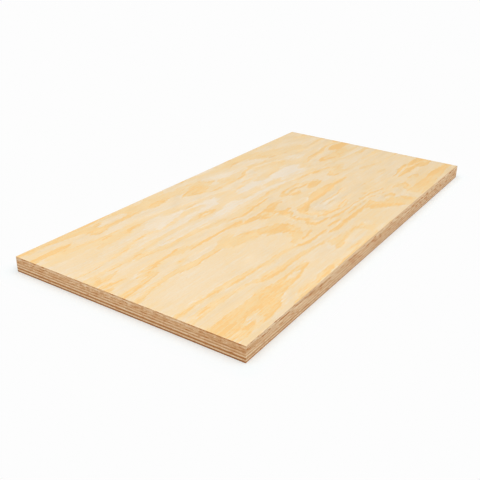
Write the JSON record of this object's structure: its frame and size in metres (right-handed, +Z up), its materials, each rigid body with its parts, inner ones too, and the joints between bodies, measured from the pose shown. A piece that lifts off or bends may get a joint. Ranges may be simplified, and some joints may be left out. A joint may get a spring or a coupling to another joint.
{
  "type": "plywood sheet",
  "caption": "Flat rectangular plywood sheet with a pine face, its veneers laid crosswise and glued, showing as stripes on the sawn edges.",
  "frame": {"origin": "middle of the underside, on the surface that the sheet lies on", "axes": "+X along the sheet's length and its face grain, +Y across its width, +Z up out of the face veneer"},
  "size_m": [0.61, 0.305, 0.019],
  "materials": {
    "pine_face": "sanded bare pine, cream earlywood with honey-yellow latewood figure",
    "pine_back": "sanded bare pine, plainer back grade",
    "crossband_veneer": "sawn edge, pale tan",
    "long_core_veneer": "sawn edge, darker brown"
  },
  "bodies": {
    "root": {"face_veneer": "pine_face", "crossband_5": "crossband_veneer", "long_core_4": "long_core_veneer", "crossband_4": "crossband_veneer", "long_core_3": "long_core_veneer", "crossband_3": "crossband_veneer", "long_core_2": "long_core_veneer", "crossband_2": "crossband_veneer", "long_core_1": "long_core_veneer", "crossband_1": "crossband_veneer", "back_veneer": "pine_back"}
  },
  "joints": []
}
